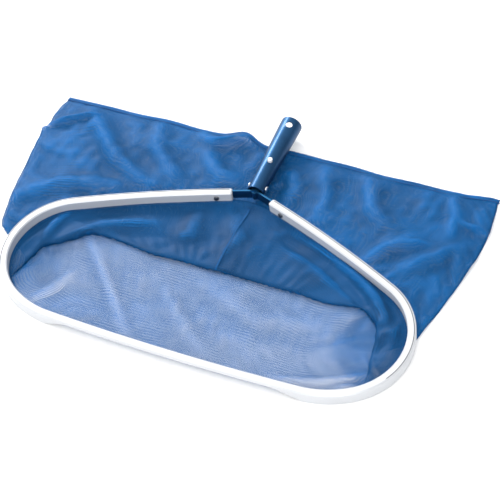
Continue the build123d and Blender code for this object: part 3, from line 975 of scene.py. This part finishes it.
class SKIMMER_OT_bag(bpy.types.Operator):
    """Mesh bag, collapsed, with its mouth doubled back under the rim"""
    bl_idname = "skimmer.bag"
    bl_label = "Bag"

    def execute(self, context):
        sizes = context.scene.skimmer_bag
        x, y, z, flat_u, flat_v, painted_shading = bag_grid(sizes)
        points = to_frame(x, y, z)
        flat = np.stack([flat_u, flat_v], axis=-1) * MM
        mesh = mesh_from_grid("net_bag", points, flat, True)
        # Painted shading for the cloth's material: painted light on crests, painted shade in hollows and
        # along the fold.
        attribute = mesh.attributes.new("painted_shading", "FLOAT", "POINT")
        attribute.data.foreach_set("value", painted_shading.ravel())
        bag = new_object("net_bag", mesh)
        mesh.materials.append(mesh_cloth("blue mesh", sizes.colour, sizes.mesh_pitch, 0.25, 0.37))
        thicken(bag, sizes.cloth_thickness)
        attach(bag, "frame")
        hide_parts("net_lower_panel", "net_upper_panel")
        return {"FINISHED"}


class SKIMMER_OT_hem(bpy.types.Operator):
    """Folded band that closes the bag, with its row of stitches"""
    bl_idname = "skimmer.hem"
    bl_label = "End hem"

    def execute(self, context):
        sizes = context.scene.skimmer_bag
        x, y, z, _, _, _ = bag_grid(sizes)
        lower = np.abs(mouth_columns(sizes)) <= SIDE_FOLD
        order = np.argsort(x[-1][lower])
        hem_x = x[-1][lower][order]
        hem_y = y[-1][lower][order]
        top = np.interp(hem_x, *self.sorted_upper(x[-1], z[-1], ~lower))
        base = z[-1][lower][order]
        width = sizes.hem_width / MM
        rows = []
        wall = 0.4
        for px, py, low, high in zip(hem_x, hem_y, base, top):
            low = max(low - 0.3, 0.25)
            high = high + 0.45
            nose = (low + high) / 2
            section = [(py - width, low), (py - 0.9, low), (py + 0.1, nose), (py - 0.9, high),
                       (py - width, high), (py - width, high - wall), (py - 1.2, high - wall),
                       (py - 0.4, nose), (py - 1.2, low + wall), (py - width, low + wall)]
            rows.append([tuple(to_frame(px, qy, qz)) for qy, qz in section])
        hem = strip("hem_band", rows, 2 * sizes.hem_width)
        hem.data.materials.append(mesh_cloth("folded mesh", sizes.hem_colour, sizes.mesh_pitch, 0.5, 0.5))
        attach(hem, "frame")
        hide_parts("end_hem")
        line = [tuple(to_frame(px, py - width + 0.6, high + 0.62))
                for px, py, high in zip(hem_x, hem_y, top)]
        stitches = sew("hem_stitches", [line], sewing_thread(sizes.thread_colour), 0.0031, 0.0029, 0.00055)
        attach(stitches, "frame")
        return {"FINISHED"}

    def sorted_upper(self, x, z, upper):
        order = np.argsort(x[upper])
        return x[upper][order], z[upper][order]


class SKIMMER_OT_seam(bpy.types.Operator):
    """Centre seam of the bag's upper half, with a row of stitches on each side"""
    bl_idname = "skimmer.seam"
    bl_label = "Centre seam"

    def execute(self, context):
        sizes = context.scene.skimmer_bag
        x, y, z, _, walk, _ = bag_grid(sizes)
        fine = np.arange(10.0, walk[-1, 0] - 8.0, 2.0)
        middle = [np.interp(fine, walk[:, 0], values[:, 0]) for values in (x, y, z)]
        step = np.gradient(np.array(middle), axis=1)
        # The seam's ridge is narrower and higher where the cloth comes forward, on the doubled part.
        forward = -np.sign(step[1])
        rows = []
        edges = ([], [])
        half = 1.5
        for px, py, pz, toward in zip(*middle, forward):
            base = pz + 0.25
            ridge, crown = (0.5, 0.6) if toward > 0 else (0.6, 0.5)
            section = [(-half, 0.0), (half, 0.0), (half, 0.35), (ridge, crown), (-ridge, crown),
                       (-half, 0.35)]
            rows.append([tuple(to_frame(px + qx, py, base + qz)) for qx, qz in section])
            for side, line in zip((-1, 1), edges):
                line.append(tuple(to_frame(px + side * 1.1, py, base + 0.5)))
        seam = strip("seam_tape", rows, 2 * sizes.hem_width)
        seam.data.materials.append(mesh_cloth("seam mesh", sizes.colour, sizes.mesh_pitch, 0.40, 0.40))
        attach(seam, "frame")
        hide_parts("centre_seam")
        stitches = sew("seam_stitches", edges, sewing_thread(sizes.thread_colour), 0.003, 0.0024, 0.00028)
        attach(stitches, "frame")
        return {"FINISHED"}


class SKIMMER_OT_binding(bpy.types.Operator):
    """Bead and binding tape of the bag's mouth, held in the rim's groove"""
    bl_idname = "skimmer.binding"
    bl_label = "Mouth binding"

    def execute(self, context):
        sizes = context.scene.skimmer_bag
        yoke_insert = 27.5
        reach = RIM_LENGTH - yoke_insert
        s = np.linspace(-reach, reach, 900)
        sides = 12
        bead_rows = []
        x, y = rim_path(s, SLOT_OFFSET)
        across = np.stack(rim_path(s, SLOT_OFFSET + 1.0)) - np.stack([x, y])
        for i, along in enumerate(s):
            ring = []
            for k in range(sides):
                angle = 2 * math.pi * k / sides
                radius = 1.08 + 0.11 * math.cos(3 * angle + along * 2 * math.pi / 9.0)
                out = radius * math.cos(angle)
                up = BEAD_HEIGHT + radius * math.sin(angle)
                ring.append(leaned(x[i] + out * across[0, i], y[i] + out * across[1, i], up))
            bead_rows.append(ring)
        bead = strip("mouth_bead", bead_rows, 0.0075)
        bead.data.materials.append(woven_tape("bead cord", sizes.hem_colour, 0.0011))
        tape_rows = []
        for i, along in enumerate(s):
            wave = 0.06 * math.sin(along * 2 * math.pi / 7.0)
            section = [(-0.28, 0.15), (0.28, 0.15), (0.26 + wave, 2.7), (0.28, 5.3), (-0.28, 5.3),
                       (-0.26 + wave, 2.7)]
            tape_rows.append([leaned(x[i] + out * across[0, i], y[i] + out * across[1, i], up)
                              for out, up in section])
        tape = strip("mouth_binding", tape_rows, 0.011)
        tape.data.materials.append(woven_tape("woven binding", sizes.hem_colour, 0.0012))
        for piece, node in ((bead, "bead_cord"), (tape, "mouth_tape")):
            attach(piece, "frame")
            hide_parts(node)
        return {"FINISHED"}


class SKIMMER_OT_score(bpy.types.Operator):
    """Thin dark strip along the top face of the rim's arms and side bends: painted shade of a fine score
    line
    """
    bl_idname = "skimmer.score"
    bl_label = "Score lines"

    def execute(self, context):
        # Painted shade: the strip's near-black colour stands for the shade along the fine line.
        material = satin_metal("score line", (0.05, 0.05, 0.06), 0.1, 0.4, 0.5, (1, 1, 8))
        for name, side in (("left", -1), ("right", 1)):
            s = np.linspace(side * 250.0, side * (RIM_LENGTH - 3.0), 260)
            inner = np.stack(rim_path(s, 7.1))
            outer = np.stack(rim_path(s, 7.95))
            low = RIM_HEIGHT - 0.05
            high = RIM_HEIGHT + 0.06
            rows = []
            for (ax, ay), (bx, by) in zip(inner.T, outer.T):
                rows.append([leaned(ax, ay, low), leaned(bx, by, low), leaned(bx, by, high),
                             leaned(ax, ay, high)])
            line = strip("rim_score_" + name, rows, 0.002)
            line.data.materials.append(material)
            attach(line, "frame")
        return {"FINISHED"}


class SKIMMER_OT_metal(bpy.types.Operator):
    """Finishes of the rim, yoke, handle tube, screws, rivet and spring clip"""
    bl_idname = "skimmer.metal"
    bl_label = "Hardware finishes"

    def execute(self, context):
        colours = context.scene.skimmer_hardware
        rim = satin_metal("satin rim", colours.rim_colour, 0.20, 0.30, 0.42, (1, 1, 8))
        set_finish("rim_frame", rim)
        set_finish("handle_tube", gloss_blue("blue tube", colours.handle_colour, 0.42))
        set_finish("yoke", gloss_blue("blue yoke", colours.yoke_colour, 0.32))
        dark = satin_metal("dark steel", colours.screw_colour, 0.9, 0.28, 0.45, (3, 3, 3))
        set_finish("arm_screws", dark)
        bright = satin_metal("bright steel", (0.72, 0.73, 0.75), 1.0, 0.2, 0.35, (3, 3, 3))
        for node in ("hub_rivet", "clip_bend", "clip_leg_upper", "clip_leg_lower"):
            set_finish(node, bright)
        white = moulded_white("white moulding", colours.button_colour)
        for node in ("button_upper", "button_lower"):
            set_finish(node, white)
        return {"FINISHED"}


class SKIMMER_PT_panel(bpy.types.Panel):
    """Lists the pieces of the skimmer net"""
    bl_idname = "SKIMMER_PT_panel"
    bl_label = "Leaf skimmer net"
    bl_space_type = "VIEW_3D"
    bl_region_type = "UI"
    bl_category = "Skimmer"

    def draw(self, context):
        layout = self.layout
        for operator in STEPS:
            layout.operator(operator.bl_idname)
        for group in (context.scene.skimmer_bag, context.scene.skimmer_hardware,
                      context.scene.skimmer_stage):
            box = layout.box()
            for name in group.__annotations__:
                box.prop(group, name)


STEPS = (SKIMMER_OT_stage, SKIMMER_OT_bag, SKIMMER_OT_hem, SKIMMER_OT_seam, SKIMMER_OT_binding,
         SKIMMER_OT_score, SKIMMER_OT_metal)
GROUPS = {"skimmer_bag": BagSizes, "skimmer_hardware": HardwareColours, "skimmer_stage": StageSizes}


def register():
    for name, group in GROUPS.items():
        bpy.utils.register_class(group)
        setattr(bpy.types.Scene, name, PointerProperty(type=group))
    for operator in STEPS:
        bpy.utils.register_class(operator)
    bpy.utils.register_class(SKIMMER_PT_panel)


def unregister():
    bpy.utils.unregister_class(SKIMMER_PT_panel)
    for operator in reversed(STEPS):
        bpy.utils.unregister_class(operator)
    for name, group in GROUPS.items():
        delattr(bpy.types.Scene, name)
        bpy.utils.unregister_class(group)


def main():
    register()
    bpy.ops.skimmer.stage()
    bpy.ops.skimmer.bag()
    bpy.ops.skimmer.hem()
    bpy.ops.skimmer.seam()
    bpy.ops.skimmer.binding()
    bpy.ops.skimmer.score()
    bpy.ops.skimmer.metal()


if __name__ == "__main__":
    main()
